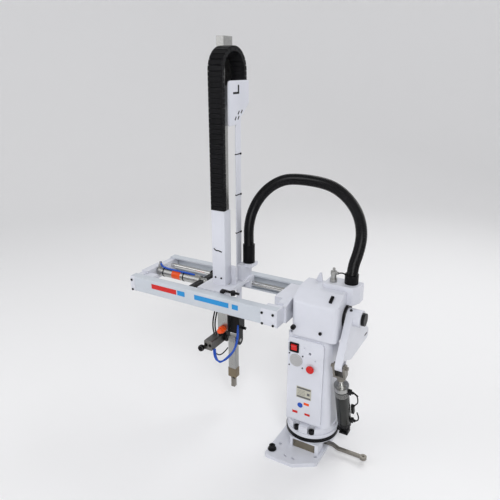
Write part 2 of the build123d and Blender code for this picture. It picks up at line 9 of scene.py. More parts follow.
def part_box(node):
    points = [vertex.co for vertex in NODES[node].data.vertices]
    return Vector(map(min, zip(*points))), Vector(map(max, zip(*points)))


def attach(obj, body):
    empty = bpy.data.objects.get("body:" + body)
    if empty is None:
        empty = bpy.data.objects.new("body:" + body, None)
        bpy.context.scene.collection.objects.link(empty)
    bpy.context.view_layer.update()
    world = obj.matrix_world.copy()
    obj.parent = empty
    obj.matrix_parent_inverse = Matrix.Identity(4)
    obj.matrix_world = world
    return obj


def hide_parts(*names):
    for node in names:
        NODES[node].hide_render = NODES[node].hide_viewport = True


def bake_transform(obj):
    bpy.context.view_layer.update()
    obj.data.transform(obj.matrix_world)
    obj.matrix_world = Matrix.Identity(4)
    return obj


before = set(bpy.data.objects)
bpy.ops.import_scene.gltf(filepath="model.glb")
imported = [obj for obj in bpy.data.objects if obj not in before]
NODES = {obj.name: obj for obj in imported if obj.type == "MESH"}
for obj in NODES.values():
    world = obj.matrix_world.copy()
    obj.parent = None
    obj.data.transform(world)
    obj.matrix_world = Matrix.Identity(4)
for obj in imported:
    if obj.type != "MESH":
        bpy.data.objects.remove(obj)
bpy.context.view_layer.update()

MM = 0.001


# ---------------------------------------------------------------- materials
NOISE_RANGE = (0.3, 0.7)            # where most of a noise's values lie
TONE_SCALE, TONE_DETAIL, TONE_STOPS = 9, 5, (0.35, 0.65)
WEAR_SCALE, WEAR_DETAIL = 60, 6
GRAIN_DETAIL, GRAIN_DEPTH = 3, 0.0002
ROUGH_SHARES = (0.88, 1.15)
EDGE_R, EDGE_SAMPLES, EDGE_RANGE = 0.0008, 4, (0.97, 0.80)


def node_kit(name):
    material = bpy.data.materials.new(name)
    material.use_nodes = True
    tree = material.node_tree
    return material, tree, tree.nodes["Principled BSDF"]


def link(tree, source, target):
    tree.links.new(source, target)


def noise(tree, scale, detail, stretch=(1, 1, 1)):
    """Noise over the object's own coordinates, in metres."""
    place = tree.nodes.new("ShaderNodeTexCoord")
    mapping = tree.nodes.new("ShaderNodeMapping")
    mapping.inputs["Scale"].default_value = stretch
    texture = tree.nodes.new("ShaderNodeTexNoise")
    texture.inputs["Scale"].default_value = scale
    texture.inputs["Detail"].default_value = detail
    link(tree, place.outputs["Object"], mapping.inputs["Vector"])
    link(tree, mapping.outputs["Vector"], texture.inputs["Vector"])
    return texture.outputs["Fac"]


def ramp(tree, source, stops):
    """Colours at two places along the source's values."""
    node = tree.nodes.new("ShaderNodeValToRGB")
    for element, (place, colour) in zip(node.color_ramp.elements, stops):
        element.position = place
        element.color = (*colour, 1)
    link(tree, source, node.inputs["Fac"])
    return node.outputs["Color"]


def spread(tree, source, low, high):
    """Noise stretched to run from low to high."""
    node = tree.nodes.new("ShaderNodeMapRange")
    node.inputs["From Min"].default_value, node.inputs["From Max"].default_value = NOISE_RANGE
    node.inputs["To Min"].default_value = low
    node.inputs["To Max"].default_value = high
    link(tree, source, node.inputs["Value"])
    return node.outputs["Result"]


def edge_mask(tree):
    """Bright where a sharp edge turns: the rounded normal leaves the true one."""
    soft = tree.nodes.new("ShaderNodeBevel")
    soft.samples = EDGE_SAMPLES
    soft.inputs["Radius"].default_value = EDGE_R
    true = tree.nodes.new("ShaderNodeNewGeometry")
    dot = tree.nodes.new("ShaderNodeVectorMath")
    dot.operation = "DOT_PRODUCT"
    link(tree, soft.outputs["Normal"], dot.inputs[0])
    link(tree, true.outputs["Normal"], dot.inputs[1])
    node = tree.nodes.new("ShaderNodeMapRange")
    node.inputs["From Min"].default_value, node.inputs["From Max"].default_value = EDGE_RANGE
    link(tree, dot.outputs["Value"], node.inputs["Value"])
    return node.outputs["Result"], soft.outputs["Normal"]


def surface(name, colour, rough, metallic=0.0, vary=0.04, grain=900, bump=0.15,
            stretch=(1, 1, 1), wear=None, coat=0.0, specular=0.5):
    """Procedural surface: broad tone changes, fine grain in bump and roughness, softened edges and,
    where wear gives a colour, rubbed edges."""
    material, tree, shader = node_kit(name)
    dark = tuple(c * (1 - vary) for c in colour)
    light = tuple(min(1, c * (1 + vary)) for c in colour)
    base = ramp(tree, noise(tree, TONE_SCALE, TONE_DETAIL), list(zip(TONE_STOPS, (dark, light))))
    rubbed, soft_normal = edge_mask(tree)
    if wear:
        patches = spread(tree, noise(tree, WEAR_SCALE, WEAR_DETAIL), 0.0, 1.0)
        amount = tree.nodes.new("ShaderNodeMath")
        amount.operation = "MULTIPLY"
        link(tree, rubbed, amount.inputs[0])
        link(tree, patches, amount.inputs[1])
        mix = tree.nodes.new("ShaderNodeMix")
        mix.data_type = "RGBA"
        link(tree, amount.outputs["Value"], mix.inputs["Factor"])
        link(tree, base, mix.inputs["A"])
        mix.inputs["B"].default_value = (*wear, 1)
        base = mix.outputs["Result"]
    link(tree, base, shader.inputs["Base Color"])
    fine = noise(tree, grain, GRAIN_DETAIL, stretch)
    smoothest, roughest = (min(1, rough * share) for share in ROUGH_SHARES)
    link(tree, spread(tree, fine, smoothest, roughest), shader.inputs["Roughness"])
    relief = tree.nodes.new("ShaderNodeBump")
    relief.inputs["Strength"].default_value = bump
    relief.inputs["Distance"].default_value = GRAIN_DEPTH
    link(tree, fine, relief.inputs["Height"])
    link(tree, soft_normal, relief.inputs["Normal"])
    link(tree, relief.outputs["Normal"], shader.inputs["Normal"])
    shader.inputs["Metallic"].default_value = metallic
    shader.inputs["Coat Weight"].default_value = coat
    shader.inputs["Specular IOR Level"].default_value = specular
    return material


# one material for each look, put on the frame's parts and on the added pieces
M = {
    "white": surface("white_paint", (0.67, 0.685, 0.75), 0.32, grain=520, coat=0.2,
                     wear=(0.46, 0.46, 0.49)),
    # rail: a darker, bluer copy of the white paint, painted shade on the white-painted rails
    "rail": surface("rail_paint_shaded", (0.56, 0.60, 0.655), 0.34, grain=480, coat=0.2,
                    wear=(0.44, 0.45, 0.48)),
    "steel": surface("brushed_steel", (0.24, 0.225, 0.20), 0.32, metallic=1.0, vary=0.12,
                     grain=1400, stretch=(0.08, 1, 1)),
    "gunmetal": surface("gunmetal", (0.17, 0.165, 0.155), 0.34, metallic=1.0, vary=0.15,
                        grain=700, wear=(0.40, 0.39, 0.37)),
    "chrome": surface("chrome_rod", (0.60, 0.60, 0.59), 0.10, metallic=1.0, vary=0.03,
                      grain=1800, bump=0.04, stretch=(0.05, 1, 1)),
    "alu": surface("anodised_silver", (0.40, 0.40, 0.39), 0.28, metallic=1.0, vary=0.06,
                   grain=1500, stretch=(1, 1, 0.05)),
    "barrel": surface("cylinder_barrel_finish", (0.012, 0.013, 0.011), 0.22, metallic=0.3, vary=0.12,
                      grain=1400, stretch=(1, 1, 0.06), coat=0.2, specular=0.35),
    "oxide": surface("black_oxide", (0.010, 0.010, 0.011), 0.40, metallic=0.2, vary=0.15,
                     grain=900, wear=(0.10, 0.10, 0.11), specular=0.2),
    "plastic": surface("black_plastic", (0.004, 0.004, 0.005), 0.42, vary=0.2, grain=1300,
                       specular=0.12),
    "hose": surface("conduit", (0.003, 0.003, 0.004), 0.28, vary=0.2, grain=1100,
                    specular=0.2),
    "brass": surface("brass", (0.60, 0.44, 0.20), 0.30, metallic=1.0, vary=0.12,
                     grain=1200, stretch=(1, 1, 0.1)),
    "bronze": surface("bronze", (0.22, 0.18, 0.125), 0.42, metallic=0.9, vary=0.18,
                      grain=800, wear=(0.45, 0.38, 0.28)),
    "red": surface("red_plastic", (0.60, 0.008, 0.006), 0.24, vary=0.05, coat=0.2, bump=0.05,
                   specular=0.3),
    "blue": surface("blue_tube", (0.012, 0.08, 0.46), 0.26, vary=0.06, coat=0.15, bump=0.05,
                    specular=0.3),
    "mark_blue": surface("mark_blue", (0.02, 0.27, 0.62), 0.40, vary=0.04, bump=0.04,
                         specular=0.3),
    "orange": surface("orange_plastic", (0.85, 0.085, 0.006), 0.30, vary=0.06, coat=0.15,
                      bump=0.05, specular=0.3),
    "cream": surface("label_cream", (0.50, 0.485, 0.41), 0.40, vary=0.05, bump=0.04),
    # window: dark brownish metal for the riser's hollow, painted shade and a painted reflection of
    # its inside
    "window": surface("window_shade_plate", (0.21, 0.185, 0.14), 0.42, metallic=0.7, vary=0.12,
                      grain=1100, stretch=(0.2, 1, 1)),
    "grille": surface("grille_grey", (0.46, 0.46, 0.47), 0.42, vary=0.05, bump=0.08),
    "grey": surface("label_grey", (0.11, 0.11, 0.115), 0.42, vary=0.08, bump=0.04),
}
CAD_LOOKS = {
    "white": ["base_plate", "base_casting", "column_foot", "column_housing", "shoulder_housing",
              "valve_box", "swing_lever", "right_end", "left_end", "carriage", "tower_cover",
              "cable_box", "chain_bracket", "tube_strip"],
    "rail": ["front_rail", "back_rail"],
    "steel": ["lock_lever", "swivel_pin", "shaft_bearings", "swing_shaft", "clevis_pin",
              "jaw_left", "jaw_right", "rod_clevis"],
    "gunmetal": ["flip_cylinder"],
    "chrome": ["guide_rods", "cross_rod", "swing_rod"],
    "alu": ["arm_beam", "chain_end_block", "cross_barrel", "cross_caps", "chuck_body",
            "cylinder_head", "air_fitting"],
    "barrel": ["cylinder_barrel"],
    "oxide": ["base_bolts", "column_screws", "shaft_collars", "frame_fasteners", "cylinder_cap",
              "cylinder_bracket", "cross_stop", "cross_bridge", "gripper_mount",
              "cylinder_ports"],
    "plastic": ["swivel_ring", "switch_bezel", "hose_cuff_right", "hose_cuff_left"],
    "brass": ["pivot_bush"],
    "bronze": ["chuck_nose"],
    "red": ["switch_rocker", "push_button"],
    "grille": ["buzzer"],
}
for look, names in CAD_LOOKS.items():
    for name in names:
        for holder in NODES[name].material_slots:
            holder.link = "OBJECT"
            holder.material = M[look]


# ---------------------------------------------------------------- mesh helpers
BEVEL_SEGMENTS, SHARP = 2, math.radians(35)
HEAD_TALL, HEAD_TOP = 0.5, 0.82                  # a screw's parts, as shares of its radius
SOCKET_R, SOCKET_TALL, SOCKET_AT = 0.42, 0.02, 0.505


def finish_mesh(name, bm, look, body, bevel=0.0, smooth=True):
    mesh = bpy.data.meshes.new(name)
    bm.normal_update()
    bm.to_mesh(mesh)
    bm.free()
    piece = bpy.data.objects.new(name, mesh)
    bpy.context.scene.collection.objects.link(piece)
    mesh.materials.append(M[look])
    if bevel:
        mod = piece.modifiers.new("soft edges", "BEVEL")
        mod.width = bevel
        mod.segments = BEVEL_SEGMENTS
        mod.limit_method = "ANGLE"
    for face in mesh.polygons:
        face.use_smooth = smooth
    if smooth:
        mesh.set_sharp_from_angle(angle=SHARP)
    if body:
        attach(piece, body)
    return piece


def add_box(bm, centre, size, turn=None):
    matrix = Matrix.Translation(centre) @ (turn or Matrix()) @ Matrix.Diagonal((*size, 1))
    bmesh.ops.create_cube(bm, size=1, matrix=matrix)


def aim(axis):
    return Vector(axis).to_track_quat("Z", "Y").to_matrix().to_4x4()


def add_disc(bm, centre, axis, radius, height, sides=32, top=None):
    bmesh.ops.create_cone(bm, cap_ends=True, segments=sides, radius1=radius,
                          radius2=radius if top is None else top, depth=height,
                          matrix=Matrix.Translation(centre) @ aim(axis))


def screw(name, centre, axis, radius, body, look="oxide"):
    """Button head with a thin black hexagon on top: painted shade in its socket."""
    bm = bmesh.new()
    centre, axis = Vector(centre), Vector(axis).normalized()
    add_disc(bm, centre + axis * radius * HEAD_TALL / 2, axis, radius, radius * HEAD_TALL,
             top=radius * HEAD_TOP)
    finish_mesh(name, bm, look, body, smooth=False)
    bm = bmesh.new()
    # thin black hexagon on the head: painted shade in the socket
    add_disc(bm, centre + axis * radius * SOCKET_AT, axis, radius * SOCKET_R,
             radius * SOCKET_TALL, sides=6)
    finish_mesh(name + "_socket_shade", bm, "plastic", body, smooth=False)


# ---------------------------------------------------------------- routes and tubes
THIN_STEPS, THIN_SIDES = 10, 12


def spline_line(points, resolution):
    """Points along a smooth NURBS spline that has the route's points (mm) as control points."""
    curve = bpy.data.curves.new("route", "CURVE")
    curve.dimensions = "3D"
    curve.resolution_u = resolution
    spline = curve.splines.new("NURBS")
    spline.points.add(len(points) - 1)
    for point, place in zip(spline.points, points):
        point.co = (*(Vector(place) * MM), 1)
    spline.order_u = 3
    spline.use_endpoint_u = True
    holder = bpy.data.objects.new("route", curve)
    mesh = bpy.data.meshes.new_from_object(holder)
    line = [vert.co.copy() for vert in mesh.vertices]
    bpy.data.objects.remove(holder)
    bpy.data.curves.remove(curve)
    bpy.data.meshes.remove(mesh)
    return line


def resample(line, step):
    """The same line as points about one step apart."""
    total = sum((b - a).length for a, b in zip(line, line[1:]))
    count = max(2, round(total / step))
    out, gone, i = [], 0.0, 0
    for k in range(count + 1):
        want = total * k / count
        while i < len(line) - 2 and gone + (line[i + 1] - line[i]).length < want:
            gone += (line[i + 1] - line[i]).length
            i += 1
        run = (line[i + 1] - line[i]).length or 1e-9
        out.append(line[i].lerp(line[i + 1], min(1, (want - gone) / run)))
    return out


def tube_mesh(line, radius_at, sides):
    """Tube along close points, with a radius for each."""
    bm, rings = bmesh.new(), []
    side = Vector((0, 1, 0))
    for i, point in enumerate(line):
        along = (line[min(i + 1, len(line) - 1)] - line[max(i - 1, 0)]).normalized()
        side = (side - along * side.dot(along)).normalized()
        other = along.cross(side)
        ring = [bm.verts.new(point + (side * math.cos(a) + other * math.sin(a)) * radius_at(i))
                for a in (2 * math.pi * k / sides for k in range(sides))]
        rings.append(ring)
    for low, high in zip(rings, rings[1:]):
        for k in range(sides):
            bm.faces.new((low[k], low[(k + 1) % sides], high[(k + 1) % sides], high[k]))
    bm.faces.new(rings[0][::-1])
    bm.faces.new(rings[-1])
    return bm


def thin_tube(name, points, radius, look, body):
    line = spline_line(points, THIN_STEPS)
    return finish_mesh(name, tube_mesh(line, lambda i: radius * MM, THIN_SIDES), look, body)


# ---------------------------------------------------------------- conduit hose
HOSE_R, HOSE_STEPS, HOSE_SIDES = 0.017, 40, 32
RIB_PITCH, RIB_DEPTH, RIB_STEPS = 0.0044, 0.0014, 4
HOSE_JOIN = (-72, 60, 862)
HOSE_RIGHT = [(85, 45, 571), (85, 45, 620), (101, 44, 672), (108, 43, 733), (89, 46, 792),
              (44, 49, 838), (-14, 54, 862), HOSE_JOIN]
HOSE_LEFT = [HOSE_JOIN, (-130, 66, 862), (-188, 72, 840), (-238, 77, 798), (-273, 81, 744),
             (-290, 81, 684), (-288, 80, 619), (-288, 80, 557)]


def hose(name, points):
    """Corrugated conduit: a ring and a groove on every 4.4 mm."""
    line = resample(spline_line(points, HOSE_STEPS), RIB_PITCH / RIB_STEPS)

    def radius(i):
        return HOSE_R - RIB_DEPTH / 2 * (1 - math.cos(2 * math.pi * i / RIB_STEPS))
    piece = finish_mesh(name, tube_mesh(line, radius, HOSE_SIDES), "hose", None)
    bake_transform(piece)
    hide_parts(name.replace("conduit", "hose"))


hose("conduit_right", HOSE_RIGHT)
hose("conduit_left", HOSE_LEFT)


# ---------------------------------------------------------------- drag chain
CHAIN_X = (-0.364, -0.315)
CHAIN_T, CHAIN_PITCH, LINK_BEVEL = 0.015, 0.0148, 0.0004
PLATE_T, TONGUE_T, BAR_T, BAR_IN = 0.003, 0.0024, 0.0022, 0.0012
BAR_GAP, CORE_GAP = 0.004, 0.010                 # link width less bar width, and less core width
PLATE_LONG, PLATE_TALL = 0.95, 0.98              # shares of the link's length and thickness
TONGUE_LONG, TONGUE_TALL, TONGUE_AHEAD = 0.9, 0.8, 0.2
LID_LONG, FLOOR_LONG, CORE_TALL = 0.94, 0.86, 0.55


def chain_link(bm, centre, along, outward, length):
    """One link: two side plates, their tongues, an outer and an inner crossbar, and a core."""
    across = along.cross(outward)
    turn = Matrix((across, along, outward)).transposed().to_4x4()
    width = CHAIN_X[1] - CHAIN_X[0]

    def put(x, y, z, size):
        place = centre + across * x + along * y + outward * z
        add_box(bm, place, size, turn)
    for side in (-1, 1):
        put(side * (width / 2 - PLATE_T / 2), 0, 0,
            (PLATE_T, length * PLATE_LONG, CHAIN_T * PLATE_TALL))
        put(side * (width / 2 - PLATE_T - TONGUE_T / 2), length * TONGUE_AHEAD, 0,
            (TONGUE_T, length * TONGUE_LONG, CHAIN_T * TONGUE_TALL))
    put(0, 0, CHAIN_T / 2 - BAR_IN, (width - BAR_GAP, length * LID_LONG, BAR_T))
    put(0, 0, -CHAIN_T / 2 + BAR_IN, (width - BAR_GAP, length * FLOOR_LONG, BAR_T))
    put(0, 0, 0, (width - CORE_GAP, length, CHAIN_T * CORE_TALL))


def chain_leg(name, node, outward_y):
    low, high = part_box(node)
    y, x = (low[1] + high[1]) / 2, sum(CHAIN_X) / 2
    count = round((high[2] - low[2]) / CHAIN_PITCH)
    step = (high[2] - low[2]) / count
    bm = bmesh.new()
    for i in range(count):
        chain_link(bm, Vector((x, y, low[2] + (i + 0.5) * step)), Vector((0, 0, 1)),
                   Vector((0, outward_y, 0)), step)
    return finish_mesh(name, bm, "plastic", None, bevel=LINK_BEVEL, smooth=False), low, high


def chain():
    # a real leg's top moves half as far as the arm, its other end not at all or all the way; here the
    # legs stay put and only the bend rides on a body
    piece, low, high = chain_leg("chain_links_fixed", "chain_leg_fixed", -1)
    x, y = sum(CHAIN_X) / 2, low[1]
    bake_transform(piece)
    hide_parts("chain_leg_fixed")
    piece, low, high = chain_leg("chain_links_moving", "chain_leg_moving", 1)
    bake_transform(piece)
    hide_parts("chain_leg_moving")

    low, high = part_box("chain_bend")
    outer = high[2] - low[2]
    axis_y, axis_z, middle = (low[1] + high[1]) / 2, low[2], high[2] - low[2] - CHAIN_T / 2
    count = round(math.pi * middle / CHAIN_PITCH)
    bm = bmesh.new()
    for i in range(count):
        a = math.pi * (i + 0.5) / count
        outward = Vector((0, math.cos(a), math.sin(a)))
        along = Vector((0, -math.sin(a), math.cos(a)))
        chain_link(bm, Vector((x, axis_y, axis_z)) + outward * (outer - CHAIN_T / 2), along,
                   outward, math.pi * middle / count)
    bend = finish_mesh("chain_links_bend", bm, "plastic", "chain_turn", bevel=LINK_BEVEL,
                       smooth=False)
    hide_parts("chain_bend")


chain()


# ---------------------------------------------------------------- small visible parts
ROUND_SIDES = 48
PATCH_BEVEL, CAP_BEVEL = 0.0003, 0.0004


def patch(name, low, high, look, body):
    """Box between two corners in mm."""
    bm = bmesh.new()
    low, high = Vector(low) * MM, Vector(high) * MM
    add_box(bm, (low + high) / 2, high - low)
    return finish_mesh(name, bm, look, body, bevel=PATCH_BEVEL, smooth=False)


NAMEPLATE_X, NAMEPLATE_Z, NAMEPLATE_OUT = (-32, 18), (200, 241), 0.8
PRINT_IN, BAND_OUT, RULE_OUT = 0.7, 1.0, 0.95    # how far printed parts stand out of the column
BAND_X, BANDS_Z, BAND_TALL = (-30, 16), (202, 233), 6
SQUARE_X, SQUARE_Z = (4, 13), (215, 224)
RULE_X, RULES_Z, RULE_TALL = (-28, -2), range(212, 228, 5), 1
MARKS = [("orange", (-6, 12), (178, 187)), ("red", (-44, -26), (139, 148)),
         ("red", (-2, 16), (141, 149))]
MARK_OUT, MARK_SUNK = 0.5, 0.1
ROUND_MARK, ROUND_MARK_R, ROUND_MARK_T, ROUND_MARK_SIDES = (-18, 173), 9, 0.6, 40
ROUND_MARK_OUT = 0.2                             # from the face to the middle of its thickness
DOTS, DOT_X, DOT_Z, DOT_PITCH, DOT_TALL, DOT_OUT = 6, (-63.5, -61.3), 360, 4.4, 2, 0.4


def front_panel():
    """Plates and plain colour marks on the column's flat front."""
    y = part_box("column_housing")[0][1] / MM

    def mark(name, x, z, look, out, back=-MARK_SUNK):
        patch(name, (x[0], y - out, z[0]), (x[1], y - back, z[1]), look, "column")
    mark("nameplate", NAMEPLATE_X, NAMEPLATE_Z, "cream", NAMEPLATE_OUT)
    for i, z in enumerate(BANDS_Z):
        mark(f"nameplate_band_{i}", BAND_X, (z, z + BAND_TALL), "grey", BAND_OUT, PRINT_IN)
    mark("nameplate_square", SQUARE_X, SQUARE_Z, "grey", BAND_OUT, PRINT_IN)
    for i, z in enumerate(RULES_Z):
        mark(f"nameplate_rule_{i}", RULE_X, (z, z + RULE_TALL), "grey", RULE_OUT, PRINT_IN)
    for i, (look, x, z) in enumerate(MARKS):
        mark(f"mark_{i}", x, z, look, MARK_OUT)
    bm = bmesh.new()
    centre = Vector((ROUND_MARK[0], y - ROUND_MARK_OUT, ROUND_MARK[1])) * MM
    add_disc(bm, centre, (0, -1, 0), ROUND_MARK_R * MM, ROUND_MARK_T * MM, ROUND_MARK_SIDES)
    finish_mesh("mark_round", bm, "blue", "column", smooth=False)
    for i in range(DOTS):
        z = DOT_Z + DOT_PITCH * i
        mark(f"dot_{i}", DOT_X, (z, z + DOT_TALL), "grey", DOT_OUT)


# slots in the chain bracket, drawn as black patches of painted shade
HOOK_SLOTS = [("upright", (52, 60), (1102, 1128)), ("foot", (25, 60), (1102, 1108))]
HOOK_OUT, HOOK_IN = 0.3, 0.6
TIE_SLOTS, TIE_SLOT = ((38, 1031), (55, 1032), (56, 1047), (74, 1049)), (0.9, 5, 13)
TIE_SLOT_LEAN, TIE_SLOT_BEVEL, TIE_SLOT_IN = math.radians(-38), 0.0006, 0.1
STRIP_TIES_Z, TIE_TALL = (662, 789, 919), 3.2
TIE_OUT = Vector((0.8, 1, 0))                    # how far a tie stands out of the strip
TIE_HEAD_LOW, TIE_HEAD_HIGH = Vector((0, -8, -1.2)), Vector((3, -2, 4.4))
TOWER_SCREWS_X, TOWER_SCREWS_Z, TOWER_SCREW_R = (-352, -330), 527, 3.4
TOWER_MARK, TOWER_MARK_R = ((-356, 626), (-347, 619), (-339, 622), (-326, 618)), 1.9
TOWER_MARK_OUT = 0.2


def slots_and_ties():
    """Black patches in the chain bracket's slots as painted shade, cable ties on the strip, and the
    tower's screws.
    """
    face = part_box("chain_bracket")[1][0] / MM
    # black patches on the bracket's face: painted shade in its slots
    for name, y, z in HOOK_SLOTS:
        patch(f"hook_slot_shade_{name}", (face - HOOK_IN, y[0], z[0]), (face + HOOK_OUT, y[1], z[1]),
              "plastic", "arm")
    for i, (y, z) in enumerate(TIE_SLOTS):
        bm = bmesh.new()
        add_box(bm, Vector((face - TIE_SLOT_IN, y, z)) * MM, Vector(TIE_SLOT) * MM,
                Matrix.Rotation(TIE_SLOT_LEAN, 4, "X"))
        finish_mesh(f"tie_slot_shade_{i}", bm, "plastic", "arm", bevel=TIE_SLOT_BEVEL, smooth=False)
    low, high = (Vector(corner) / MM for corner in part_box("tube_strip"))
    for i, z in enumerate(STRIP_TIES_Z):
        foot, far = Vector((low.x, low.y, z)), Vector((high.x, high.y, z))
        patch(f"strip_tie_{i}", foot - TIE_OUT, far + TIE_OUT + Vector((0, 0, TIE_TALL)),
              "plastic", "arm")
        patch(f"strip_tie_head_{i}", far + TIE_HEAD_LOW, far + TIE_HEAD_HIGH, "plastic", "arm")
    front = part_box("tower_cover")[0][1]
    for i, x in enumerate(TOWER_SCREWS_X):
        screw(f"tower_screw_{i}", (x * MM, front, TOWER_SCREWS_Z * MM), (0, -1, 0),
              TOWER_SCREW_R * MM, "carriage")
    thin_tube("tower_mark", [(x, front / MM - TOWER_MARK_OUT, z) for x, z in TOWER_MARK],
              TOWER_MARK_R, "plastic", "carriage")


CROSS_LINE_R, BLUE_LINE_R, BLACK_LINE_R, FINE_LINE_R = 3.4, 2.9, 2.6, 2.0
CROSS_LINE = [(-612, 8, 520), (-609, 6, 512), (-596, 3, 503), (-540, 1, 502.5), (-480, 3, 503),
              (-462, 6, 500)]
# rings on the crosswise cylinder: name, look, middle on X, width, how far it stands out
CROSS_RINGS = [("cross_tie_0", "plastic", -592, 3.6, 0.9), ("cross_tie_1", "plastic", -505, 3.6, 0.9),
               ("cross_band", "orange", -536, 36, 0.3)]
BLUE_SHIFTS, BLACK_SHIFTS = (0, 6), (0, 9)
LOW_LINE = [(-366, -30, 268), (-362, -34, 252), (-346, -36, 240), (-330, -26, 244), (-322, -6, 262)]
VALVE_LINE = [(48, 30, 600), (58, 31, 604), (69, 34, 600), (74, 37, 588)]
# steps of the orange fitting: middle on Y, radius, length, sides
FITTING_X, FITTING_Z, FITTING_BEVEL = -337, 334, 0.0006
FITTING_STEPS = [(-19, 13, 15, 8), (-31, 9, 12, 24)]


def air_lines():
    """Thin air tubes on the gripper, the crosswise cylinder and the valve box."""
    thin_tube("cross_line", CROSS_LINE, CROSS_LINE_R, "blue", "frame")
    low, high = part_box("cross_barrel")
    mid_y, mid_z = (low[1] + high[1]) / 2, (low[2] + high[2]) / 2
    for name, look, x, wide, out in CROSS_RINGS:
        bm = bmesh.new()
        add_disc(bm, (x * MM, mid_y, mid_z), (1, 0, 0), high[2] - mid_z + out * MM, wide * MM,
                 ROUND_SIDES)
        finish_mesh(name, bm, look, "frame")
    for i, shift in enumerate(BLUE_SHIFTS):
        thin_tube(f"flip_line_blue_{i}",
                  [(-356 + shift, -44, 268), (-352 + shift, -50, 246), (-340 + shift, -52, 228),
                   (-322, -46 - shift, 226), (-304, -30 - shift, 240 + shift),
                   (-291, -12 - shift, 264), (-287, 0 - shift, 292), (-287, 6 - shift, 322),
                   (-290, 9, 350)], BLUE_LINE_R, "blue", "arm")
    for i, shift in enumerate(BLACK_SHIFTS):
        thin_tube(f"flip_line_black_{i}",
                  [(-378 + shift, -6, 299), (-386 + shift, -2, 318), (-388 + shift, 2, 344),
                   (-382 + shift, 2, 372), (-374 + shift, 0, 402), (-364, 0, 428)],
                  BLACK_LINE_R, "plastic", "arm")
    thin_tube("flip_line_low", LOW_LINE, FINE_LINE_R, "plastic", "arm")
    bm = bmesh.new()
    for y, radius, length, sides in FITTING_STEPS:
        add_disc(bm, Vector((FITTING_X, y, FITTING_Z)) * MM, (0, -1, 0), radius * MM, length * MM,
                 sides)
    finish_mesh("orange_fitting", bm, "orange", "arm", bevel=FITTING_BEVEL, smooth=False)
    thin_tube("valve_line", VALVE_LINE, FINE_LINE_R, "plastic", "column")


def prism(name, outline, x, look, body):
    """Outline in (Y, Z), in mm, between two limits on X."""
    bm = bmesh.new()
    ends = [[bm.verts.new(Vector((at, y, z)) * MM) for y, z in outline] for at in x]
    for i in range(len(outline)):
        j = (i + 1) % len(outline)
        bm.faces.new((ends[0][i], ends[0][j], ends[1][j], ends[1][i]))
    bm.faces.new(ends[0][::-1])
    bm.faces.new(ends[1])
    bmesh.ops.recalc_face_normals(bm, faces=bm.faces)
    return finish_mesh(name, bm, look, body, bevel=CAP_BEVEL, smooth=False)


# the rail's outer side, from its foot: how far in, and how far above the foot or below the top
FOOT_IN, FOLD_IN, FOLD_UP, FACE_UP = 7, 2.5, 4, 22
FACE_DOWN, TOP_IN = 4, 3
CAPS_X, CAP_T, CAP_FOLD_UP = ((-648.5, -630), (-137, -86.5)), 0.8, 3.6
CAP_CORNER, CAP_CORNER_DOWN = 0.4, 3.4
RAIL_BARS = [("red", -556, 104), ("mark_blue", -448, 30), ("mark_blue", -380, 130),
             ("mark_blue", -238, 22)]
RAIL_BARS_Z, RAIL_BAR_OUT, RAIL_BAR_IN = (473, 490), 0.4, 0.1
# corners of the dark plate that paints the shade in the riser's window
WINDOW_SHADE_PLATE = (-36, -67.5, 12.2), (41, -65.5, 44.5)
WINDOW_SCREWS_X, WINDOW_SCREWS_Z, WINDOW_SCREW_R = (-31, 36), 28, 2.6


def rail_and_base_trim():
    """End caps and plain colour bars on the rails; a dark plate paints shade and reflection in the
    riser's window.
    """
    for name, side in (("front_rail", -1), ("back_rail", 1)):
        low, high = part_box(name)
        face = (low[1] if side < 0 else high[1]) / MM
        z0, z1 = low[2] / MM, high[2] / MM
        section = [(FOOT_IN, z0), (FOLD_IN, z0 + FOLD_UP), (0, z0 + FACE_UP), (0, z1 - FACE_DOWN),
                   (TOP_IN, z1), (TOP_IN, z1 + CAP_T), (-CAP_CORNER, z1 - CAP_CORNER_DOWN),
                   (-CAP_T, z1 - FACE_DOWN), (-CAP_T, z0 + FACE_UP),
                   (FOLD_IN - CAP_T, z0 + CAP_FOLD_UP), (FOOT_IN, z0 - CAP_T)]
        outline = [(face - side * depth, z) for depth, z in section]
        for i, x in enumerate(CAPS_X):
            prism(f"{name}_cap_{i}", outline, x, "white", "frame")
    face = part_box("front_rail")[0][1] / MM
    for i, (look, x, wide) in enumerate(RAIL_BARS):
        patch(f"rail_bar_{i}", (x, face - RAIL_BAR_OUT, RAIL_BARS_Z[0]),
              (x + wide, face + RAIL_BAR_IN, RAIL_BARS_Z[1]), look, "frame")
    # dark plate: painted shade and a painted reflection inside the riser's window
    patch("window_shade_plate", *WINDOW_SHADE_PLATE, "window", "base")
    for i, x in enumerate(WINDOW_SCREWS_X):
        screw(f"window_screw_{i}", Vector((x, WINDOW_SHADE_PLATE[0][1], WINDOW_SCREWS_Z)) * MM, (0, -1, 0),
              WINDOW_SCREW_R * MM, "base", "steel")


CYLINDER_FOOT, CLEVIS_PIN = Vector((105, 20, 80)), Vector((105, -68.46, 351.28))
RIDGES, RIDGE_FROM, RIDGE_PITCH, RIDGE_R, RIDGE_T = 4, 167, 5, 22.6, 1.8
# lines on the cylinder: points beside it on X, across it, and along it from its foot
CYLINDER_LINES = [
    ("sensor_line", 2.0, ((38, 0, 184), (47, 0, 180), (49, 3, 156), (45, 8, 130), (34, 12, 112),
                          (31, 12, 104))),
    ("port_stub", 2.6, ((36, 0, 186), (44, -4, 188), (54, -10, 188))),
    ("low_port_line", 2.0, ((37, 0, 50), (46, 0, 56), (48, 4, 72), (40, 10, 82)))]


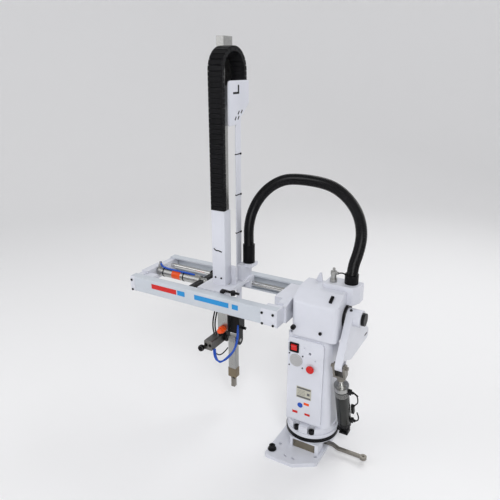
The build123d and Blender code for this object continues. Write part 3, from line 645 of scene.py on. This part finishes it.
def swing_cylinder_trim():
    """Ridges on the swing cylinder's head, its sensor line and its air lines."""
    along = (CLEVIS_PIN - CYLINDER_FOOT).normalized()
    side = along.cross(Vector((1, 0, 0)))

    def place(x, y, z):
        return CYLINDER_FOOT + along * z + side * y + Vector((x, 0, 0))
    for i in range(RIDGES):
        bm = bmesh.new()
        add_disc(bm, place(0, 0, RIDGE_FROM + RIDGE_PITCH * i) * MM, along, RIDGE_R * MM,
                 RIDGE_T * MM, ROUND_SIDES)
        finish_mesh(f"head_ridge_{i}", bm, "alu", "swing_barrel", bevel=PATCH_BEVEL, smooth=False)
    for name, radius, points in CYLINDER_LINES:
        thin_tube(name, [place(*p) for p in points], radius, "plastic", "swing_barrel")


KNOB, KNOB_R, KNOB_SIDES, KNOB_RINGS = Vector((-391, -67.5, 271)), 11.4, 24, 16
# corners of the black block that paints the shade in the lever's slot
LEVER_SLOT_SHADE = (110, 120, 365), (115.3, 146.5, 371)
LEVER_SCREW, LEVER_SCREW_AXIS, LEVER_SCREW_R = Vector((105, 0.5, 504.5)), (0, -0.37, 0.93), 4.5
# place and size of the black box that paints the shade in the shoulder's slot
ADJUSTER, ADJUSTER_SIZE, SLOPE = Vector((57, -38, 542)), Vector((8.6, 23.6, 10)), math.radians(29)


def knob_and_slots():
    """Knob on the flip cylinder, the lever's screw, and black painted shade in the lever's and
    shoulder's slots.
    """
    bm = bmesh.new()
    bmesh.ops.create_uvsphere(bm, u_segments=KNOB_SIDES, v_segments=KNOB_RINGS, radius=KNOB_R * MM,
                              matrix=Matrix.Translation(KNOB * MM))
    finish_mesh("flip_knob", bm, "plastic", "arm")
    # black block filling the lever's slot: painted shade
    patch("lever_slot_shade", *LEVER_SLOT_SHADE, "plastic", "frame")
    screw("lever_screw", LEVER_SCREW * MM, LEVER_SCREW_AXIS, LEVER_SCREW_R * MM, "frame")
    # black box in the shoulder's slot: painted shade in the recess
    bm = bmesh.new()
    add_box(bm, ADJUSTER * MM, ADJUSTER_SIZE * MM, Matrix.Rotation(SLOPE, 4, "X"))
    finish_mesh("adjusting_slot_shade", bm, "plastic", "column", smooth=False)


front_panel()
swing_cylinder_trim()
knob_and_slots()
rail_and_base_trim()
slots_and_ties()
air_lines()


# ---------------------------------------------------------------- stage, light and camera
def area_light(name, place, target, size, watts):
    light = bpy.data.lights.new(name, "AREA")
    light.energy, light.size = watts, size
    lamp = bpy.data.objects.new(name, light)
    lamp.location = place
    lamp.rotation_euler = (Vector(target) - Vector(place)).to_track_quat("-Z", "Y").to_euler()
    bpy.context.scene.collection.objects.link(lamp)


FLOOR_HUB, FLOOR_FLAT, FLOOR_BEND, WALL_TOP = 0.01, 3.2, 1.8, 4.2
FLOOR_SIDES, BEND_STEPS = 96, 12
FLOOR_COLOUR, FLOOR_ROUGH, WORLD_STRENGTH = (0.93, 0.93, 0.94, 1), 0.8, 0.54
LIT = (-0.2, 0, 0.6)
LAMPS = [("key", (1.2, -2.2, 2.6), 1.3, 40), ("fill", (-2.2, -1.6, 1.6), 2.0, 12),
         ("rim", (0.4, 2.0, 2.4), 1.4, 20)]


def stage():
    """Round pale floor that bends up into a wall, a white world and three soft lamps."""
    turns = [math.pi / 2 * k / BEND_STEPS for k in range(1, BEND_STEPS + 1)]
    profile = [(FLOOR_HUB, 0), (FLOOR_FLAT, 0)]
    profile += [(FLOOR_FLAT + FLOOR_BEND * math.sin(a), FLOOR_BEND * (1 - math.cos(a)))
                for a in turns]
    profile += [(FLOOR_FLAT + FLOOR_BEND, WALL_TOP)]
    bm, rings = bmesh.new(), []
    around = [2 * math.pi * k / FLOOR_SIDES for k in range(FLOOR_SIDES)]
    for r, z in profile:
        rings.append([bm.verts.new((r * math.cos(a), r * math.sin(a), z)) for a in around])
    bm.faces.new(rings[0])
    for low, high in zip(rings, rings[1:]):
        for k in range(FLOOR_SIDES):
            j = (k + 1) % FLOOR_SIDES
            bm.faces.new((low[k], high[k], high[j], low[j]))
    bmesh.ops.recalc_face_normals(bm, faces=bm.faces)
    material, _, shader = node_kit("floor")
    shader.inputs["Base Color"].default_value = FLOOR_COLOUR
    shader.inputs["Roughness"].default_value = FLOOR_ROUGH
    M["floor"] = material
    finish_mesh("floor", bm, "floor", None)
    world = bpy.data.worlds.new("studio")
    bpy.context.scene.world = world
    world.use_nodes = True
    background = world.node_tree.nodes["Background"]
    background.inputs["Color"].default_value = (1, 1, 1, 1)
    background.inputs["Strength"].default_value = WORLD_STRENGTH
    for name, place, size, watts in LAMPS:
        area_light(name, place, LIT, size, watts)


YAW, PITCH = math.radians(30), math.radians(19.4)
EYE, LENS, SENSOR = (0.54185, -1.35023, 1.18169), 37.66, 36


def camera():
    """Distance, height and lens of the known view: turned to the side by YAW, down by PITCH."""
    data = bpy.data.cameras.new("camera")
    data.lens, data.sensor_width = LENS, SENSOR
    eye = bpy.data.objects.new("camera", data)
    eye.location = EYE
    forward = Vector((-math.sin(YAW) * math.cos(PITCH), math.cos(YAW) * math.cos(PITCH),
                      -math.sin(PITCH)))
    eye.rotation_euler = forward.to_track_quat("-Z", "Y").to_euler()
    bpy.context.scene.collection.objects.link(eye)
    bpy.context.scene.camera = eye


stage()
camera()
bpy.context.scene.view_settings.view_transform = "Standard"
